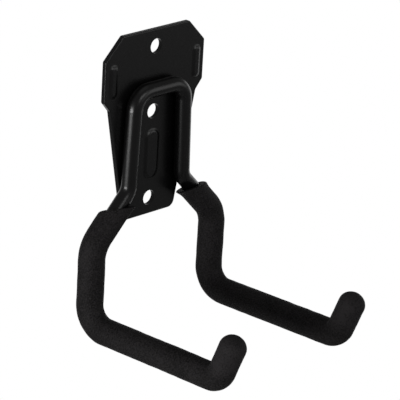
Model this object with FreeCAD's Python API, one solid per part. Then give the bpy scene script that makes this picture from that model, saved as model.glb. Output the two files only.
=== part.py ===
# Garage utility hook: a pressed back plate, one bent steel rod and a foam sleeve on each prong.
# The origin is the centre of the middle screw hole, on the plate's back face. +X is to the right of
# someone who faces the wall, +Y goes into the wall and +Z is up. Lengths are in millimetres and
# angles in degrees.
import FreeCAD, Part
import math
import os

from FreeCAD import Vector

# Back plate: sheet, outline from the top down, and the three screw holes on its centre line
SHEET = 2.4
TOP_WIDTH = 44.0
HEAD_WIDTH = 65.6
CLIP_HEIGHT = 11.1
HEAD_SIDE = 20.5
SHOULDER_DROP = 5.0
NECK_WIDTH = 57.2
END_WIDTH = 34.0
CORNER_RADIUS = 1.5
END_RADIUS = 4.0
EDGE_ROUND = 0.5
HOLE_DIAMETER = 7.6
UPPER_HOLE_SPACING = 33.3
LOWER_HOLE_SPACING = 45.2
TOP_MARGIN = 8.7
END_MARGIN = 8.6

# Ribs pressed out at the sides of the head, and the pad pressed out of the tongue. Their walls slope
# in over PRESS_RUN, and each of the two roundings takes PRESS_SOFTNESS of that slope.
PRESS_HEIGHT = 0.8
PRESS_RUN = 1.4
PRESS_SOFTNESS = 0.3
RIB_WIDTH = 5.2
RIB_LENGTH = 16.8
RIB_INSET = 5.2
RIB_DROP = 2.3
PAD_WIDTH = 9.4
PAD_LENGTH = 26.0
PAD_DROP = 9.2

# Rod: one bar with the same bends on both sides, measured along its centre line.
# Heights count from the origin, and the bends are centre-line radii.
ROD_DIAMETER = 8.0
LOOP_HEIGHT = 13.2
LOOP_WIDTH = 32.3
LOOP_BEND = 8.8
LEG_SPREAD = 1.8
LEG_DROP = 36.4
LEG_BEND = 9.0
PRONG_SPACING = 81.6
SHOULDER_DEPTH = 60.3
SHOULDER_BEND = 17.0
PRONG_DEPTH = 101.5
ELBOW_BEND = 11.2
PRONG_REACH = 96.4
PRONG_RISE_ANGLE = 2.9
TIP_BEND = 8.4
TIP_ANGLE = 68.0
TIP_LENGTH = 25.8

# Foam sleeve on each prong. Its mouth rides further up the inner and the front side of the rod,
# where the bends make the way shorter.
SLEEVE_DIAMETER = 13.4
SLEEVE_FIT = 0.2
SLEEVE_START = 10.4
MOUTH_INNER_RIDE = 9.5
MOUTH_FRONT_RIDE = 6.5
MOUTH_ROUND = 1.0
TIP_CAP = 3.0
TIP_ROUND = 5.4

# Places that follow from the sizes above
OUT_OF_WALL = Vector(0, -1, 0)
DOWN = Vector(0, 0, -1)
PLATE_FRONT_Y = -SHEET
LEG_Y = PLATE_FRONT_Y - ROD_DIAMETER / 2
PRONG_Y = -SLEEVE_DIAMETER / 2
TOP_Z = UPPER_HOLE_SPACING + TOP_MARGIN
CLIP_Z = TOP_Z - CLIP_HEIGHT
SIDE_Z = CLIP_Z - HEAD_SIDE
NECK_Z = SIDE_Z - SHOULDER_DROP
END_Z = -LOWER_HOLE_SPACING - END_MARGIN
HOLE_HEIGHTS = (UPPER_HOLE_SPACING, 0.0, -LOWER_HOLE_SPACING)
PRESS_SLOPE = math.atan2(PRESS_HEIGHT, PRESS_RUN)
PRESS_ROUND = PRESS_SOFTNESS * math.hypot(PRESS_HEIGHT, PRESS_RUN) / math.tan(PRESS_SLOPE / 2)

# A face whose box stays this near a plane lies in that plane
SAME_PLANE = 0.01


def bent_wire(points, radii):
    """Straight runs through the points, joined at each inner point by a tangent arc of its radius."""
    edges = []
    run_start = points[0]
    for before, corner, after, radius in zip(points, points[1:], points[2:], radii):
        back = (before - corner).normalize()
        ahead = (after - corner).normalize()
        half_angle = back.getAngle(ahead) / 2
        inward = (back + ahead).normalize()
        arc_start = corner + back * (radius / math.tan(half_angle))
        arc_middle = corner + inward * (radius / math.sin(half_angle) - radius)
        arc_end = corner + ahead * (radius / math.tan(half_angle))
        edges.append(Part.LineSegment(run_start, arc_start).toShape())
        edges.append(Part.Arc(arc_start, arc_middle, arc_end).toShape())
        run_start = arc_end
    edges.append(Part.LineSegment(run_start, points[-1]).toShape())
    return Part.Wire(edges)


def slot(width, length, x, z_top):
    """Outline of an upright slot with round ends, on the plate's back plane, its upper end at z_top."""
    radius = width / 2
    upper = z_top - radius
    lower = z_top - length + radius
    left_low, left_high = Vector(x - radius, 0, lower), Vector(x - radius, 0, upper)
    right_low, right_high = Vector(x + radius, 0, lower), Vector(x + radius, 0, upper)
    return Part.Wire([
        Part.LineSegment(left_low, left_high).toShape(),
        Part.Arc(left_high, Vector(x, 0, z_top), right_high).toShape(),
        Part.LineSegment(right_high, right_low).toShape(),
        Part.Arc(right_low, Vector(x, 0, z_top - length), left_low).toShape(),
    ])


def flat_face_at(shape, y):
    """The largest face that lies in the plane y."""
    boxes = [(face, face.BoundBox) for face in shape.Faces]
    flat = [face for face, box in boxes if max(abs(box.YMin - y), abs(box.YMax - y)) < SAME_PLANE]
    return max(flat, key=lambda face: face.Area)


def plate_blank():
    """The plate's outline cut from flat sheet, with rounded corners and a rounded front edge."""
    right_side = [
        (TOP_WIDTH / 2, TOP_Z), (HEAD_WIDTH / 2, CLIP_Z), (HEAD_WIDTH / 2, SIDE_Z),
        (NECK_WIDTH / 2, NECK_Z), (END_WIDTH / 2, END_Z),
    ]
    left_side = [(-x, z) for x, z in reversed(right_side)]
    corners = [Vector(x, 0, z) for x, z in right_side + left_side]
    side_radii = [CORNER_RADIUS] * (len(right_side) - 1) + [END_RADIUS]
    top_middle = Vector(0, 0, TOP_Z)
    outline = bent_wire([top_middle] + corners + [top_middle], side_radii + side_radii[::-1])
    blank = Part.Face(outline).extrude(OUT_OF_WALL * SHEET)
    return blank.makeFillet(EDGE_ROUND, flat_face_at(blank, PLATE_FRONT_Y).Edges)


def press_out(plate, width, length, x, z_top):
    """Raises a pressing with round ends and sloped walls on the front, and hollows the back to match."""
    root = slot(width, length, x, z_top)
    crown = slot(width - 2 * PRESS_RUN, length - 2 * PRESS_RUN, x, z_top - PRESS_RUN)
    hollow = Part.makeLoft([root, crown.translated(OUT_OF_WALL * PRESS_HEIGHT)], True, True)
    hollow = hollow.makeFillet(PRESS_ROUND, flat_face_at(hollow, -PRESS_HEIGHT).Edges)
    return plate.fuse(hollow.translated(OUT_OF_WALL * SHEET)).cut(hollow)


def back_plate():
    """The plate with two ribs on its head, a pad on its tongue and three screw holes."""
    plate = plate_blank()
    rib_x = HEAD_WIDTH / 2 - RIB_INSET
    for side in (-1, 1):
        plate = press_out(plate, RIB_WIDTH, RIB_LENGTH, side * rib_x, CLIP_Z - RIB_DROP)
    plate = press_out(plate, PAD_WIDTH, PAD_LENGTH, 0, -PAD_DROP)
    front = flat_face_at(plate, PLATE_FRONT_Y)
    roots = [wire for wire in front.Wires if not wire.isSame(front.OuterWire)]
    plate = plate.makeFillet(PRESS_ROUND, [edge for root in roots for edge in root.Edges])
    for height in HOLE_HEIGHTS:
        plate = plate.cut(Part.makeCylinder(HOLE_DIAMETER / 2, SHEET, Vector(0, 0, height), OUT_OF_WALL))
    return plate


def round_bar(points, radii, diameter):
    """Solid round bar along a bent centre line."""
    section = Part.Wire(Part.makeCircle(diameter / 2, points[0], points[1] - points[0]))
    return bent_wire(points, radii).makePipeShell([section], True, False)


def prong_points(side):
    """Corners of the rod's centre line on one side, from the loop to the tip of the sleeve."""
    loop_corner = Vector(side * LOOP_WIDTH / 2, LEG_Y, LOOP_HEIGHT)
    leg_end = Vector(side * (LOOP_WIDTH / 2 + LEG_SPREAD), LEG_Y, -LEG_DROP)
    prong_x = side * PRONG_SPACING / 2
    shoulder = Vector(prong_x, PRONG_Y, -SHOULDER_DEPTH)
    elbow = Vector(prong_x, PRONG_Y, -PRONG_DEPTH)
    rise = (PRONG_REACH + PRONG_Y) * math.tan(math.radians(PRONG_RISE_ANGLE))
    tip_corner = Vector(prong_x, -PRONG_REACH, rise - PRONG_DEPTH)
    tip_angle = math.radians(TIP_ANGLE)
    tip = tip_corner + Vector(0, -math.cos(tip_angle), math.sin(tip_angle)) * TIP_LENGTH
    return [loop_corner, leg_end, shoulder, elbow, tip_corner, tip]


def cut_short(points, amount):
    """The same corners with the last run shortened."""
    last_run = (points[-1] - points[-2]).normalize()
    return points[:-1] + [points[-1] - last_run * amount]


def hook_rod():
    """The whole bar, from inside the left tip, over the loop and down to the right tip."""
    left = cut_short(prong_points(-1), TIP_CAP)
    right = cut_short(prong_points(1), TIP_CAP)
    bends = [LOOP_BEND, LEG_BEND, SHOULDER_BEND, ELBOW_BEND, TIP_BEND]
    return round_bar(left[::-1] + right, bends[::-1] + bends, ROD_DIAMETER)


def foam_sleeve(side):
    """Blind foam tube on one prong, from its slanted mouth below the leg to its rounded tip."""
    leg_end, shoulder, elbow, tip_corner, tip = prong_points(side)[1:]
    upward = (leg_end - shoulder).normalize()
    inner_side = (DOWN - upward * DOWN.dot(upward)).normalize()
    mouth = leg_end - upward * SLEEVE_START
    start = mouth + upward * (MOUTH_INNER_RIDE + MOUTH_FRONT_RIDE)
    centre_line = [start, shoulder, elbow, tip_corner, tip]
    bends = [SHOULDER_BEND, ELBOW_BEND, TIP_BEND]
    outside = round_bar(centre_line, bends, SLEEVE_DIAMETER)
    bore = round_bar(cut_short(centre_line, TIP_CAP - SLEEVE_FIT), bends, ROD_DIAMETER + 2 * SLEEVE_FIT)

    slant = inner_side * MOUTH_INNER_RIDE + OUT_OF_WALL * MOUTH_FRONT_RIDE
    mouth_normal = upward - slant / SLEEVE_DIAMETER
    reach = SLEEVE_DIAMETER + MOUTH_INNER_RIDE + MOUTH_FRONT_RIDE
    outside = outside.cut(Part.makeCylinder(reach, reach, mouth, mouth_normal))
    for centre, radius in ((mouth, MOUTH_ROUND), (tip, TIP_ROUND)):
        end_face = min(outside.Faces, key=lambda face: face.CenterOfMass.distanceToPoint(centre))
        outside = outside.makeFillet(radius, end_face.Edges)
    return outside.cut(bore)


os.makedirs("parts", exist_ok=True)
back_plate().exportStep("parts/back_plate.step")
hook_rod().exportStep("parts/hook_rod.step")
foam_sleeve(-1).exportStep("parts/left_foam_sleeve.step")
foam_sleeve(1).exportStep("parts/right_foam_sleeve.step")
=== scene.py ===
"""Garage utility hook: powder-coated steel, modelled foam sleeves and a white studio, as an add-on."""
import math
from collections import namedtuple

import bmesh
import bpy
from bpy.props import FloatProperty, FloatVectorProperty, PointerProperty
from mathutils import Matrix, Vector


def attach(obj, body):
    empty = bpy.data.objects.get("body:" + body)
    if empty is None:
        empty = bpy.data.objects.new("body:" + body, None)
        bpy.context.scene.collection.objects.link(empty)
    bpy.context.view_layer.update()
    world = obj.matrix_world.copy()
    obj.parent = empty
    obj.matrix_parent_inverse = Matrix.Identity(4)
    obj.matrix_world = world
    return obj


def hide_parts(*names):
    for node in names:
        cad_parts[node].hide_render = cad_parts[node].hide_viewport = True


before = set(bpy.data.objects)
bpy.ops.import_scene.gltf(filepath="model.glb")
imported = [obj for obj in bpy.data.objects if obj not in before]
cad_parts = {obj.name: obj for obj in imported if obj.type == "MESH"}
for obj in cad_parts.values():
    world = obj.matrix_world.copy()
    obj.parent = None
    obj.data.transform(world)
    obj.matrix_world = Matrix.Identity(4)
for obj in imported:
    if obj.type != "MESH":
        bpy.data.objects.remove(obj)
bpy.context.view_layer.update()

bl_info = {
    "name": "Garage Utility Hook",
    "version": (1, 0, 0),
    "blender": (4, 5, 0),
    "location": "View3D > Sidebar > Hook",
    "description": "Coats the hook's steel, models its foam sleeves and sets up a white studio",
    "category": "Object",
}

MM = 0.001
BODY = "root"
STEEL_NODES = ("back_plate", "hook_rod")
# By the side of the middle that they are on: -1 is left, 1 is right
SLEEVE_NODES = {-1: "left_foam_sleeve", 1: "right_foam_sleeve"}
TO_WALL = Vector((0, 1, 0))
DOWN = Vector((0, 0, -1))

# A sleeve's mesh: vertices in a ring, distance between rings, and rings in the round of its end,
# in its flared lip and over the lip's edge
SECTORS = 64
RING_SPACING = 1.0 * MM
TIP_RINGS = 10
FLARE_RINGS = 8
EDGE_RINGS = 4
# Vertices this near to a plane lie in it
ON_PLANE = 0.005 * MM
# Edges with a sharper turn than this aren't shaded smooth
SMOOTH_ANGLE = math.radians(40)
# Lengths left without rings: at a mouth, in shares of its slant, and at a tip, in shares of its rounding
MOUTH_STRETCH = 1.6
TIP_STRETCH = 1.05

# Refractive index of the polymers in the coat and the foam
POLYMER_IOR = 1.5

# The stage, in metres: the floor lies far enough down to stay a dim ground in the coat's gloss,
# and the backdrop ends above the hook, so that the plate's upper edges stay dark
FLOOR_Z = -3.0
FLOOR_SIZE = 14.0
BACKDROP_WIDTH = 7.0
BACKDROP_TOP = 0.5
BACKDROP_DISTANCE = 2.4
WORLD_LEVEL = 0.18
# The middle of the hook, which the lamps and the camera face, and the camera's shift across and up
AIM = Vector((0, -45 * MM, -35 * MM))
VIEW_PAN = (-5.13 * MM, 1.83 * MM)
SENSOR_MM = 36.0

# Soft lamps: azimuth and elevation in degrees, distance and size in metres
Softbox = namedtuple("Softbox", "name azimuth elevation distance width height radiance")
SOFTBOXES = (
    Softbox("left_softbox", -88, -5, 1.4, 0.9, 0.25, 17.5),
    Softbox("right_softbox", 43, 10, 1.4, 0.9, 0.8, 1.1),
    Softbox("front_softbox", 0, 26, 1.5, 0.8, 0.5, 2.4),
    Softbox("top_softbox", 0, 85, 1.6, 1.2, 1.2, 0.2),
)


def linear(hex_colour):
    """An sRGB hex colour as linear red, green and blue."""
    channels = [int(hex_colour[place:place + 2], 16) / 255 for place in (1, 3, 5)]
    return [c / 12.92 if c <= 0.04045 else ((c + 0.055) / 1.055) ** 2.4 for c in channels]


def length(name, description, millimetres):
    """A length property, with its default given in millimetres."""
    return FloatProperty(
        name=name, description=description, default=millimetres * MM, min=0, unit="LENGTH", precision=5)


def angle(name, description, degrees):
    """An angle property, with its default given in degrees."""
    return FloatProperty(
        name=name, description=description, default=math.radians(degrees), subtype="ANGLE")


def colour(name, description, hex_colour):
    """A colour property, with its default given as an sRGB hex value."""
    return FloatVectorProperty(
        name=name, description=description, default=linear(hex_colour), subtype="COLOR", min=0, max=1)


class SleeveSizes(bpy.types.PropertyGroup):
    """Sizes of one foam sleeve and of the prong that it is pushed over."""
    diameter: length("Diameter", "Outside of the foam tube", 13.4)
    bore: length("Bore", "Inside of the foam tube, around the rod", 8.4)
    leg_x: length("Leg Spread", "Centre of the rod where it leaves the plate, from the middle", 17.95)
    leg_y: length("Leg Depth", "Centre of the rod where it leaves the plate, out of the wall", 6.4)
    leg_drop: length("Leg Drop", "Corner below the plate where the rod turns outwards", 36.4)
    prong_x: length("Prong Spread", "Centre of an upright, from the middle", 40.8)
    shoulder_drop: length("Shoulder Drop", "Corner where the rod turns straight down", 60.3)
    elbow_drop: length("Elbow Drop", "Corner where the rod turns out of the wall", 101.5)
    reach: length("Reach", "Corner where the tip turns up, out of the wall", 96.4)
    rise: angle("Rise", "Slope of the prong towards its tip", 2.9)
    tip_slope: angle("Tip Slope", "Slope of the turned-up tip", 68.0)
    tip_length: length("Tip Length", "Last corner to the end of the foam", 25.8)
    tip_round: length("Tip Round", "Rounding of the closed end", 5.4)
    tip_cap: length("Tip Cap", "Foam beyond the end of the bore", 2.8)
    shoulder_bend: length("Shoulder Bend", "Centre-line radius at the shoulder", 17.0)
    elbow_bend: length("Elbow Bend", "Centre-line radius at the elbow", 11.2)
    tip_bend: length("Tip Bend", "Centre-line radius where the tip turns up", 8.4)
    mouth_start: length("Mouth Start", "Middle of the mouth, down the rod from the leg's corner", 10.4)
    mouth_inner_ride: length("Mouth Inner Ride", "Extra length of the inner lip", 10.5)
    mouth_front_ride: length("Mouth Front Ride", "Extra length of the front lip", 6.5)
    lip_length: length("Lip Length", "Stretch of the tube that flares to the mouth", 7.0)
    lip_flare: length("Lip Flare", "How far a mouth spreads", 0.6)
    flare_skew: length("Flare Skew", "How much further the right mouth spreads than the left one", 0.6)
    lip_gap: length("Lip Gap", "How far the bore spreads at the mouth", 0.2)
    lip_round: length("Lip Round", "Rounding of the mouth's outer edge", 0.9)
    dent_width: length("Dent Width", "Size of the soft unevenness of the foam", 7.0)
    dent_depth: length("Dent Depth", "Depth of the soft unevenness of the foam", 0.35)
    fill: FloatProperty(
        name="Fill", description="How tight the foam is", default=0.9, min=0, max=1, subtype="FACTOR")


class FinishColours(bpy.types.PropertyGroup):
    """Colours of the powder coat and the foam."""
    coat: colour("Powder Coat", "Black polyester powder coat", "#080808")
    coat_thin: colour("Powder Coat, Thin", "The coat where it lies thinner", "#0c0b0c")
    foam: colour("Foam", "Skin of the closed-cell foam", "#121111")
    # The dusty colour is also what the painted light on the turned-up tips mixes towards
    foam_pale: colour("Foam, Dusty", "Scuffed and dusty skin between the cells", "#2b292a")


class StudioSettings(bpy.types.PropertyGroup):
    """Camera and stage."""
    view_azimuth: angle("View Azimuth", "Camera's place round the hook; 0 faces the wall", -45.75)
    view_elevation: angle("View Elevation", "Camera's height over the horizon", 21.5)
    view_roll: angle("View Roll", "Camera's turn about its own axis", 3.37)
    view_distance: length("View Distance", "Camera to the middle of the hook", 1259.0)
    lens: FloatProperty(
        name="Lens", description="Focal length on a 36 mm sensor, in millimetres", default=235.6, min=1)
    paper: colour("Paper", "Pale floor and white backdrop", "#f2f2f2")


def node(tree, kind, inputs=None, **settings):
    """Adds a node to the tree, with its settings, its input values and its links from other sockets."""
    made = tree.nodes.new(kind)
    for name, value in settings.items():
        setattr(made, name, value)
    for name, value in (inputs or {}).items():
        if isinstance(value, bpy.types.NodeSocket):
            tree.links.new(value, made.inputs[name])
        else:
            made.inputs[name].default_value = value
    return made


def new_material(name):
    """A node material with nothing in it yet, and its tree."""
    material = bpy.data.materials.new(name)
    material.use_nodes = True
    material.node_tree.nodes.clear()
    return material, material.node_tree


def noise(tree, place, lump_mm, detail):
    """Noise with lumps of about a size, given in millimetres."""
    made = node(tree, "ShaderNodeTexNoise", {
        "Vector": place, "Scale": 1 / (lump_mm * MM), "Detail": detail})
    return made.outputs["Fac"]


def powder_coat(colours):
    """Black polyester powder coat, baked on steel: a satin film with a faint orange peel."""
    peel_mm, speck_mm, cloud_mm, peel_depth_mm = 1.6, 0.5, 14.0, 0.02
    smoothest, roughest, peel_strength, gloss = 0.25, 0.33, 0.25, 0.4
    material, tree = new_material("black_powder_coat")
    place = node(tree, "ShaderNodeTexCoord").outputs["Object"]
    peel = noise(tree, place, peel_mm, detail=2.0)
    speck = noise(tree, place, speck_mm, detail=1.0)
    cloud = noise(tree, place, cloud_mm, detail=3.0)
    base = node(tree, "ShaderNodeMix", {
        "Factor": cloud, "A": (*colours.coat, 1), "B": (*colours.coat_thin, 1)}, data_type="RGBA")
    rough = node(tree, "ShaderNodeMapRange", {
        "Value": speck, "To Min": smoothest, "To Max": roughest})
    bump = node(tree, "ShaderNodeBump", {
        "Height": peel, "Strength": peel_strength, "Distance": peel_depth_mm * MM})
    shader = node(tree, "ShaderNodeBsdfPrincipled", {
        "Base Color": base.outputs["Result"], "Roughness": rough.outputs["Result"],
        "Normal": bump.outputs["Normal"], "IOR": POLYMER_IOR, "Specular IOR Level": gloss})
    node(tree, "ShaderNodeOutputMaterial", {"Surface": shader.outputs["BSDF"]})
    return material


def closed_cell_foam(colours):
    """Closed-cell rubber foam with a cut skin: dull and finely pitted, with paler dust in the pits, and
    with painted light on its turned-up tips.
    """
    # The cells are drawn about twice as coarse as the real ones, which are too fine to show
    cell_mm, grain_mm, mottle_mm, pit_depth_mm = 1.0, 0.7, 9.0, 0.18
    # The turned-up tips are painted paler, as painted light that stands in for light falling on them,
    # past this place out of the wall and above this height
    painted_light_y_mm, painted_light_z_mm, painted_light_fade_mm, painted_light = -93.0, -94.0, 7.0, 0.24
    # Dust is grain with a share of mottle; its values for clean and for dusty skin
    mottle_share, clean, dusty = 0.25, 0.47, 0.78
    smoothest, roughest, pit_strength, gloss = 0.55, 0.8, 0.5, 0.1
    material, tree = new_material("closed_cell_foam")
    place = node(tree, "ShaderNodeTexCoord").outputs["Object"]
    cells = node(tree, "ShaderNodeTexVoronoi", {"Vector": place, "Scale": 1 / (cell_mm * MM)})
    grain = noise(tree, place, grain_mm, detail=3.0)
    mottle = noise(tree, place, mottle_mm, detail=4.0)
    dust = node(tree, "ShaderNodeMath", {
        0: mottle, 1: mottle_share, 2: grain}, operation="MULTIPLY_ADD")
    split = node(tree, "ShaderNodeSeparateXYZ", {"Vector": place}).outputs
    # Painted light: a mask of the turned-up tips, out of the wall and upwards, where the foam is mixed
    # paler, broken up by the mottle
    outward = node(tree, "ShaderNodeMapRange", {
        "Value": split["Y"], "From Min": painted_light_y_mm * MM,
        "From Max": (painted_light_y_mm - painted_light_fade_mm) * MM})
    upward = node(tree, "ShaderNodeMapRange", {
        "Value": split["Z"], "From Min": painted_light_z_mm * MM,
        "From Max": (painted_light_z_mm + painted_light_fade_mm) * MM, "To Max": painted_light})
    tip = node(tree, "ShaderNodeMath", {
        0: outward.outputs["Result"], 1: upward.outputs["Result"]}, operation="MULTIPLY")
    dust_and_painted_light = node(tree, "ShaderNodeMath", {
        0: tip.outputs["Value"], 1: mottle, 2: dust.outputs["Value"]}, operation="MULTIPLY_ADD")
    shade = node(tree, "ShaderNodeMapRange", {
        "Value": dust_and_painted_light.outputs["Value"], "From Min": clean, "From Max": dusty})
    base = node(tree, "ShaderNodeMix", {
        "Factor": shade.outputs["Result"], "A": (*colours.foam, 1), "B": (*colours.foam_pale, 1)},
        data_type="RGBA")
    rough = node(tree, "ShaderNodeMapRange", {
        "Value": grain, "To Min": smoothest, "To Max": roughest})
    pits = node(tree, "ShaderNodeMath", {0: cells.outputs["Distance"], 1: grain}, operation="ADD")
    bump = node(tree, "ShaderNodeBump", {
        "Height": pits.outputs["Value"], "Strength": pit_strength, "Distance": pit_depth_mm * MM})
    shader = node(tree, "ShaderNodeBsdfPrincipled", {
        "Base Color": base.outputs["Result"], "Roughness": rough.outputs["Result"],
        "Normal": bump.outputs["Normal"], "IOR": POLYMER_IOR, "Specular IOR Level": gloss})
    node(tree, "ShaderNodeOutputMaterial", {"Surface": shader.outputs["BSDF"]})
    return material


def studio_paper(name, tint, seen_white):
    """Matt studio paper. Where seen_white is set, it is plain white to the eye and in reflections."""
    material, tree = new_material(name)
    surface = node(tree, "ShaderNodeBsdfDiffuse", {"Color": (*tint, 1)}).outputs["BSDF"]
    if seen_white:
        path = node(tree, "ShaderNodeLightPath").outputs
        seen = path["Is Camera Ray"]
        for ray in ("Is Glossy Ray", "Is Transmission Ray"):
            either = node(tree, "ShaderNodeMath", {0: seen, 1: path[ray]}, operation="MAXIMUM")
            seen = either.outputs["Value"]
        white = node(tree, "ShaderNodeEmission", {"Strength": 1.0}).outputs["Emission"]
        surface = node(tree, "ShaderNodeMixShader", {0: seen, 1: surface, 2: white}).outputs["Shader"]
    node(tree, "ShaderNodeOutputMaterial", {"Surface": surface})
    return material


def prong_corners(sizes, side):
    """Corners of the sleeved rod's centre line, from the leg's corner to the end of the foam."""
    upright_y = -sizes.diameter / 2
    leg = Vector((side * sizes.leg_x, -sizes.leg_y, -sizes.leg_drop))
    shoulder = Vector((side * sizes.prong_x, upright_y, -sizes.shoulder_drop))
    elbow = Vector((side * sizes.prong_x, upright_y, -sizes.elbow_drop))
    climb = (sizes.reach + upright_y) * math.tan(sizes.rise)
    tip_corner = Vector((side * sizes.prong_x, -sizes.reach, climb - sizes.elbow_drop))
    tip_run = Vector((0, -math.cos(sizes.tip_slope), math.sin(sizes.tip_slope)))
    tip = tip_corner + sizes.tip_length * tip_run
    return leg, shoulder, elbow, tip_corner, tip


def extrude_along(vector, spacing):
    """Extrudes the selected ring along a straight run, in even steps."""
    steps = max(1, round(vector.length / spacing))
    for _ in range(steps):
        bpy.ops.mesh.extrude_region_move(TRANSFORM_OT_translate={"value": vector / steps})


def sweep_tube(name, points, bends, radius, plain_start, plain_end):
    """A tube along straight runs and round bends, closed at its far end and left in edit mode, with
    that end selected. Its first and last stretches have no rings between their ends."""
    bpy.ops.object.select_all(action="DESELECT")
    heading = (points[1] - points[0]).to_track_quat("Z", "Y").to_euler()
    bpy.ops.mesh.primitive_circle_add(
        vertices=SECTORS, radius=radius, location=points[0], rotation=heading)
    tube = bpy.context.object
    tube.name = tube.data.name = name
    bpy.ops.object.transform_apply(location=True, rotation=True, scale=True)
    bpy.ops.object.mode_set(mode="EDIT")
    bpy.ops.mesh.select_all(action="SELECT")
    first_run = (points[1] - points[0]).normalized() * plain_start
    extrude_along(first_run, plain_start)
    reached = points[0] + first_run
    for before, corner, after, bend in zip(points, points[1:], points[2:], bends):
        back, ahead = (before - corner).normalized(), (after - corner).normalized()
        half = back.angle(ahead) / 2
        tangent = bend / math.tan(half)
        centre = corner + (back + ahead).normalized() * (bend / math.sin(half))
        turn = math.pi - 2 * half
        extrude_along(corner + back * tangent - reached, RING_SPACING)
        steps = round(turn * (bend + radius) / RING_SPACING)
        bpy.ops.mesh.spin(steps=steps, angle=turn, center=centre, axis=back.cross(ahead).normalized())
        reached = corner + ahead * tangent
    last_run = points[-1] - reached
    extrude_along(last_run - last_run.normalized() * plain_end, RING_SPACING)
    extrude_along(last_run.normalized() * plain_end, plain_end)
    bpy.ops.mesh.edge_face_add()
    return tube


def select_ring(tube, centre, normal):
    """Selects the ring of the tube that is being edited which lies in a plane."""
    mesh = bmesh.from_edit_mesh(tube.data)
    for vertex in mesh.verts:
        vertex.select_set(abs((vertex.co - centre).dot(normal)) < ON_PLANE)
    mesh.select_flush_mode()
    bmesh.update_edit_mesh(tube.data)


def flare_mouth(tube, mouth, upward, normal, held, radius, flare, edge_round, sizes):
    """Cuts the tube that is being edited along its slanted mouth, with rings below the cut that spread
    to a lip. The lip stays put on its held side. A positive edge_round rolls its edge in, a negative
    one out."""
    bend = abs(edge_round)
    flare_runs = [sizes.lip_length * (1 - step / FLARE_RINGS) for step in range(FLARE_RINGS)]
    edge_turns = [math.pi / 2 * step / EDGE_RINGS for step in range(EDGE_RINGS + 1)]
    edge_runs = [bend * (1 - math.sin(turn)) for turn in edge_turns]
    runs = [run for run in flare_runs if run > bend] + edge_runs
    for run in runs:
        bpy.ops.mesh.select_all(action="SELECT")
        bpy.ops.mesh.bisect(plane_co=mouth - upward * run, plane_no=normal, threshold=ON_PLANE)
    bpy.ops.mesh.select_all(action="SELECT")
    bpy.ops.mesh.bisect(plane_co=mouth, plane_no=normal, threshold=ON_PLANE, clear_outer=True)
    for run in runs:
        centre = mouth - upward * run
        hinge = centre + radius * (held - upward * (held.dot(normal) / upward.dot(normal)))
        spread = 1 + flare / radius * (1 - run / sizes.lip_length) ** 2
        inset = bend - math.sqrt(bend ** 2 - max(0, bend - run) ** 2)
        roll = 1 - math.copysign(inset, edge_round) / radius
        select_ring(tube, centre, normal)
        bpy.ops.transform.resize(value=(spread,) * 3, center_override=hinge)
        bpy.ops.transform.resize(value=(roll,) * 3, center_override=hinge + (centre - hinge) * spread)


def dent_foam(sleeve, sizes):
    """Gives the foam's skin a soft unevenness, and leaves its bore true."""
    dents = bpy.data.textures.new("foam_dents", "CLOUDS")
    dents.noise_scale = sizes.dent_width
    displace = sleeve.modifiers.new("dents", "DISPLACE")
    displace.texture = dents
    displace.texture_coords = "LOCAL"
    displace.strength = sizes.dent_depth
    displace.vertex_group = "bore"
    displace.invert_vertex_group = True
    bpy.ops.object.modifier_apply(modifier=displace.name)


def model_sleeve(sizes, side):
    """A blind foam tube with a flared, slanted mouth, a rounded end and a bore for the rod."""
    leg, shoulder, elbow, tip_corner, tip = prong_corners(sizes, side)
    bends = (sizes.shoulder_bend, sizes.elbow_bend, sizes.tip_bend)
    upward = (leg - shoulder).normalized()
    inner_side = (DOWN - upward * upward.dot(DOWN)).normalized()
    flare = sizes.lip_flare + side * sizes.flare_skew / 2
    slant = inner_side * sizes.mouth_inner_ride - TO_WALL * sizes.mouth_front_ride
    held = (TO_WALL - inner_side).normalized()
    normal = (upward - slant / sizes.diameter).normalized()
    mouth = leg - upward * sizes.mouth_start
    start = mouth + upward * slant.length
    plain_start = slant.length * MOUTH_STRETCH + sizes.lip_length
    tip_run = (tip - tip_corner).normalized()

    bore_end = tip - tip_run * sizes.tip_cap
    bore = sweep_tube(
        "bore", [start, shoulder, elbow, tip_corner, bore_end], bends, sizes.bore / 2,
        plain_start, sizes.tip_round)
    flare_mouth(
        bore, mouth, upward, normal, held, sizes.bore / 2, sizes.lip_gap, -sizes.lip_round / 2, sizes)
    bpy.ops.mesh.select_all(action="SELECT")
    bpy.ops.mesh.flip_normals()
    bore.vertex_groups.new(name="bore")
    bpy.ops.object.vertex_group_assign()
    bpy.ops.object.mode_set(mode="OBJECT")

    sleeve = sweep_tube(
        SLEEVE_NODES[side] + "_skin", [start, shoulder, elbow, tip_corner, tip], bends,
        sizes.diameter / 2, plain_start, sizes.tip_round * TIP_STRETCH)
    bpy.ops.mesh.bevel(offset=sizes.tip_round, segments=TIP_RINGS, affect="EDGES")
    flare_mouth(sleeve, mouth, upward, normal, held, sizes.diameter / 2, flare, sizes.lip_round, sizes)
    bpy.ops.object.mode_set(mode="OBJECT")
    bore.select_set(True)
    bpy.ops.object.join()
    bpy.ops.object.mode_set(mode="EDIT")
    bpy.ops.mesh.select_all(action="DESELECT")
    bpy.ops.mesh.select_non_manifold(
        use_wire=False, use_multi_face=False, use_non_contiguous=False, use_verts=False)
    bpy.ops.mesh.bridge_edge_loops()
    bpy.ops.mesh.select_all(action="SELECT")
    bpy.ops.mesh.normals_make_consistent(inside=False)
    bpy.ops.object.mode_set(mode="OBJECT")
    dent_foam(sleeve, sizes)
    bpy.ops.object.shade_smooth_by_angle(angle=SMOOTH_ANGLE)
    return sleeve


def direction(azimuth, elevation):
    """Unit vector from the hook; azimuth 0 points out of the wall and grows to the right."""
    flat = math.cos(elevation)
    return Vector((math.sin(azimuth) * flat, -math.cos(azimuth) * flat, math.sin(elevation)))


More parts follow.
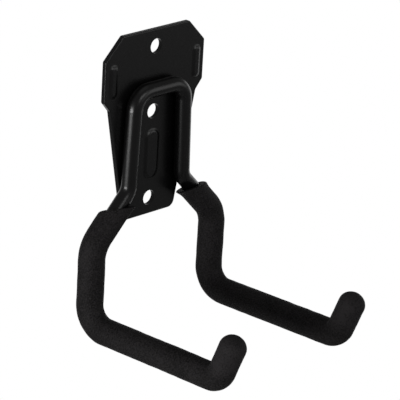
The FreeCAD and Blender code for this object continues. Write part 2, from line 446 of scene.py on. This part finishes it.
def spread_paper(name, width, height, location, facing, tint, seen_white):
    """A flat sheet of studio paper that faces a direction."""
    bpy.ops.object.select_all(action="DESELECT")
    bpy.ops.mesh.primitive_plane_add(
        size=width, location=location, rotation=facing.to_track_quat("Z", "Y").to_euler())
    sheet = bpy.context.object
    sheet.scale.y = height / width
    sheet.name = sheet.data.name = name
    sheet.data.materials.append(studio_paper(name + "_paper", tint, seen_white))


def hang_softbox(softbox, collection):
    """A rectangular area lamp that faces the hook and isn't itself seen."""
    towards = direction(math.radians(softbox.azimuth), math.radians(softbox.elevation))
    light = bpy.data.lights.new(softbox.name, "AREA")
    light.shape = "RECTANGLE"
    light.size, light.size_y = softbox.width, softbox.height
    light.energy = softbox.radiance * math.pi * softbox.width * softbox.height
    lamp = bpy.data.objects.new(softbox.name, light)
    turned = towards.to_track_quat("Z", "Y").to_matrix().to_4x4()
    lamp.matrix_world = Matrix.Translation(AIM + towards * softbox.distance) @ turned
    lamp.visible_camera = False
    collection.objects.link(lamp)


def set_up_camera(studio, scene):
    """The camera, at the photo's angle and framing."""
    back = direction(studio.view_azimuth, studio.view_elevation)
    right = Vector((math.cos(studio.view_azimuth), math.sin(studio.view_azimuth), 0))
    up = back.cross(right)
    across = right * math.cos(studio.view_roll) + up * math.sin(studio.view_roll)
    upright = up * math.cos(studio.view_roll) - right * math.sin(studio.view_roll)
    camera = bpy.data.objects.new("camera", bpy.data.cameras.new("camera"))
    camera.data.sensor_width = SENSOR_MM
    camera.data.lens = studio.lens
    camera.matrix_world = Matrix((across, upright, back)).transposed().to_4x4()
    camera.location = AIM + back * studio.view_distance + across * VIEW_PAN[0] + upright * VIEW_PAN[1]
    scene.collection.objects.link(camera)
    scene.camera = camera


class HOOK_OT_coat_steel(bpy.types.Operator):
    """Give the plate and the rod their powder coat"""
    bl_idname = "hook.coat_steel"
    bl_label = "Powder Coat"

    def execute(self, context):
        coat = powder_coat(context.scene.hook_finish)
        for name in STEEL_NODES:
            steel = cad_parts[name]
            steel.data.materials.clear()
            steel.data.materials.append(coat)
        return {"FINISHED"}


class HOOK_OT_foam_sleeves(bpy.types.Operator):
    """Model a foam sleeve on each prong, in place of its plain solid"""
    bl_idname = "hook.foam_sleeves"
    bl_label = "Foam Sleeves"

    def execute(self, context):
        sizes = context.scene.hook_sleeve
        foam = closed_cell_foam(context.scene.hook_finish)
        for side, node_name in SLEEVE_NODES.items():
            sleeve = model_sleeve(sizes, side)
            sleeve.data.materials.append(foam)
            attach(sleeve, BODY)
            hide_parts(node_name)
        return {"FINISHED"}


class HOOK_OT_stage(bpy.types.Operator):
    """Set up the floor, the backdrop, the softboxes and the camera"""
    bl_idname = "hook.stage"
    bl_label = "Studio"

    def execute(self, context):
        scene = context.scene
        studio = scene.hook_studio
        towards_view = direction(studio.view_azimuth, 0)
        backdrop_height = BACKDROP_TOP - FLOOR_Z
        backdrop_middle = Vector((0, 0, FLOOR_Z + backdrop_height / 2)) - towards_view * BACKDROP_DISTANCE
        spread_paper(
            "floor", FLOOR_SIZE, FLOOR_SIZE, (0, 0, FLOOR_Z), -DOWN, studio.paper, seen_white=False)
        spread_paper(
            "backdrop", BACKDROP_WIDTH, backdrop_height, backdrop_middle, towards_view, studio.paper,
            seen_white=True)
        scene.world = bpy.data.worlds.new("studio")
        scene.world.use_nodes = True
        background = scene.world.node_tree.nodes["Background"].inputs
        background["Color"].default_value = (1, 1, 1, 1)
        background["Strength"].default_value = WORLD_LEVEL
        for softbox in SOFTBOXES:
            hang_softbox(softbox, scene.collection)
        set_up_camera(studio, scene)
        scene.view_settings.view_transform = "Standard"
        return {"FINISHED"}


class HOOK_PT_panel(bpy.types.Panel):
    """Hook's sizes, colours and operators"""
    bl_idname = "HOOK_PT_panel"
    bl_label = "Garage Utility Hook"
    bl_space_type = "VIEW_3D"
    bl_region_type = "UI"
    bl_category = "Hook"

    def draw(self, context):
        for operator in OPERATORS:
            self.layout.operator(operator.bl_idname)
        for name in SETTINGS:
            settings = getattr(context.scene, name)
            box = self.layout.box()
            for prop in settings.bl_rna.properties:
                if prop.identifier not in ("rna_type", "name"):
                    box.prop(settings, prop.identifier)


OPERATORS = (HOOK_OT_coat_steel, HOOK_OT_foam_sleeves, HOOK_OT_stage)
SETTINGS = {"hook_sleeve": SleeveSizes, "hook_finish": FinishColours, "hook_studio": StudioSettings}
CLASSES = (*SETTINGS.values(), *OPERATORS, HOOK_PT_panel)


def register():
    """Adds the hook's classes, and its settings on the scene."""
    for cls in CLASSES:
        bpy.utils.register_class(cls)
    for name, group in SETTINGS.items():
        setattr(bpy.types.Scene, name, PointerProperty(type=group))


def unregister():
    """Removes the settings and the classes."""
    for name in SETTINGS:
        delattr(bpy.types.Scene, name)
    for cls in reversed(CLASSES):
        bpy.utils.unregister_class(cls)


def main():
    """Builds the hook and its studio."""
    register()
    bpy.ops.hook.coat_steel()
    bpy.ops.hook.foam_sleeves()
    bpy.ops.hook.stage()


if __name__ == "__main__":
    main()
